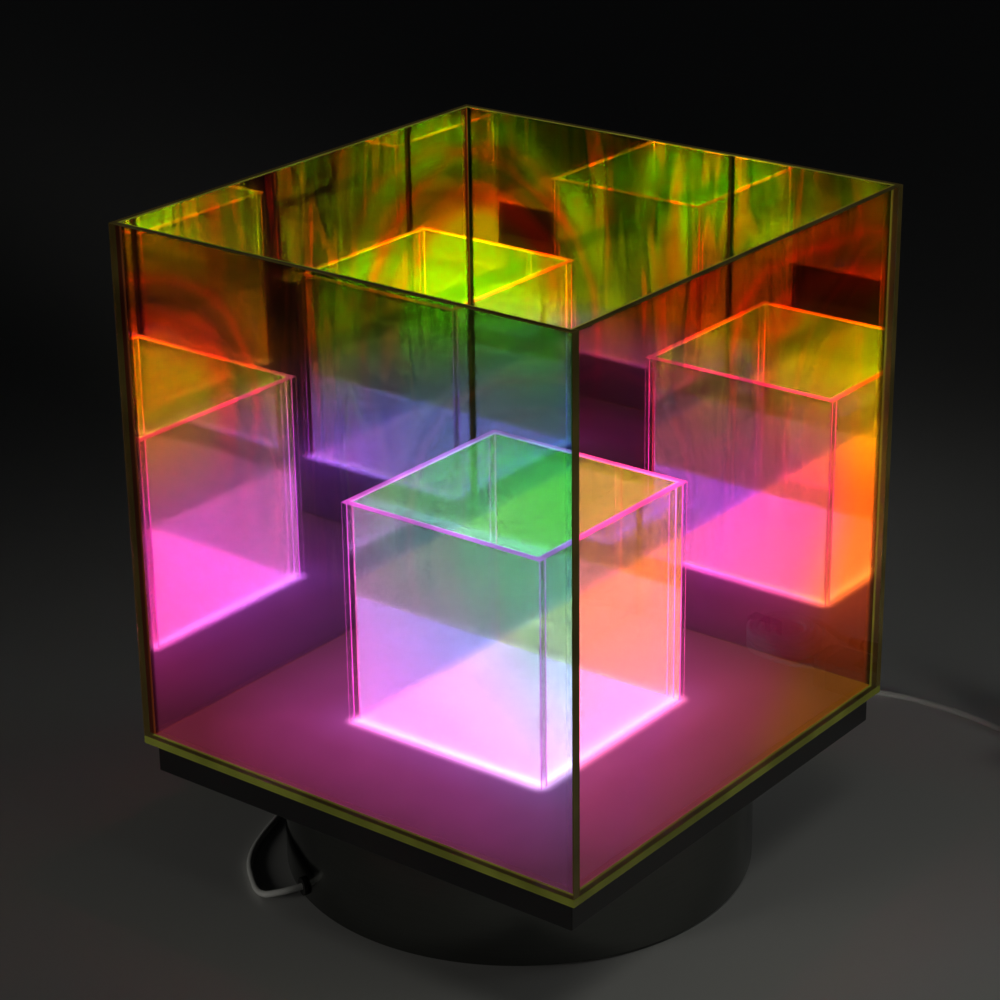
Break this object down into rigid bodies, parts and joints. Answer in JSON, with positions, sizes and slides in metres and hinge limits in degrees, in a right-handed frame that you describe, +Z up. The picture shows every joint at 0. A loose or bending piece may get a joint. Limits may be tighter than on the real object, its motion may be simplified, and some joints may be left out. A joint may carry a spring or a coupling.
{
  "type": "cube table lamp",
  "caption": "Table lamp: an open cube of colour-shifting acrylic with a smaller open cube inside it, on a square tray over a polished round drum, with a thin lead, switch and plug.",
  "frame": {"origin": "on the table, under the middle of the round drum", "axes": "+Z up; +Y from the front wall to the back wall; +X towards the right wall"},
  "size_m": [0.3228, 0.3327, 0.258],
  "materials": {
    "wall_film": "clear acrylic sheet with a colour-shifting film on its inner face",
    "inner_film": "clear acrylic sheet with a colour-shifting film, edges that glow pink",
    "floor_sheet": "satin acrylic sheet, lit through from below",
    "tray_paint": "dark polished lacquer",
    "cover_paint": "satin white paint",
    "pad_plastic": "moulded plastic",
    "diffuser": "opal, lit from below",
    "frame_plastic": "white moulded plastic",
    "led_board": "white-coated board",
    "led_chip": "white body with a yellow gel dish",
    "screw_steel": "plated",
    "bush_rubber": "soft black rubber",
    "drum_steel": "polished, with fine turning lines",
    "plate_steel": "plated sheet",
    "foot_rubber": "soft black rubber",
    "ballast_iron": "rough casting",
    "circuit_board": "green lacquered board",
    "driver_parts": "dark sleeve",
    "spacer_brass": "turned",
    "terminal_green": "moulded plastic",
    "terminal_white": "moulded plastic",
    "wire_red": "red insulation",
    "anchor_plastic": "moulded nylon",
    "cord_jacket": "grey satin jacket",
    "tie_plastic": "black strap",
    "switch_plastic": "grey moulded plastic",
    "rocker_plastic": "dark moulded plastic",
    "contact_brass": "stamped",
    "plug_plastic": "grey moulded plastic",
    "plug_steel": "bright plated sheet",
    "tongue_plastic": "white moulded plastic"
  },
  "bodies": {
    "base": {"tray_shell": "tray_paint", "tray_cover": "cover_paint", "cover_pads": "pad_plastic", "diffuser": "diffuser", "light_frame": "frame_plastic", "led_board": "led_board", "led_chips": "led_chip", "frame_screws": "screw_steel", "tray_screws": "screw_steel", "base_screws": "screw_steel", "ballast_screws": "screw_steel", "board_screws": "screw_steel", "anchor_screw": "screw_steel", "switch_screws": "screw_steel", "switch_pin": "screw_steel", "drum_posts": "screw_steel", "lead_bush": "bush_rubber", "grommet": "bush_rubber", "drum_shell": "drum_steel", "base_plate": "plate_steel", "foot_ring": "foot_rubber", "ballast": "ballast_iron", "driver_board": "circuit_board", "driver_parts": "driver_parts", "board_spacers": "spacer_brass", "cord_terminal": "terminal_green", "led_terminal": "terminal_white", "led_leads": "wire_red", "cord_anchor": "anchor_plastic", "cord_inside": "cord_jacket", "cord_lead": "cord_jacket", "cord_tail": "cord_jacket", "cord_coil": "cord_jacket", "cord_end": "cord_jacket", "coil_tie": "tie_plastic", "switch_lower_shell": "switch_plastic", "switch_upper_shell": "switch_plastic", "switch_terminals": "contact_brass", "switch_leaf": "contact_brass", "plug_contacts": "contact_brass", "plug_body": "plug_plastic", "plug_shell": "plug_steel", "plug_tongue": "tongue_plastic"},
    "big_cube": {"outer_wall_front": "wall_film", "outer_wall_back": "wall_film", "outer_wall_left": "wall_film", "outer_wall_right": "wall_film", "outer_floor": "floor_sheet"},
    "small_cube": {"inner_wall_front": "inner_film", "inner_wall_back": "inner_film", "inner_wall_left": "inner_film", "inner_wall_right": "inner_film"},
    "rocker": {"switch_rocker": "rocker_plastic"}
  },
  "joints": [
    {"name": "big_cube_lift", "type": "slide", "parent": "base", "child": "big_cube", "axis": [0, 0, 1], "range_m": [0, 0.06]},
    {"name": "small_cube_lift", "type": "slide", "parent": "big_cube", "child": "small_cube", "axis": [0, 0, 1], "range_m": [0, 0.205]},
    {"name": "rocker_tilt", "type": "hinge", "parent": "base", "child": "rocker", "pos_m": [0.15, 0.193, 0.0102], "axis": [0, 1, 0], "range_deg": [-14, 0]}
  ]
}
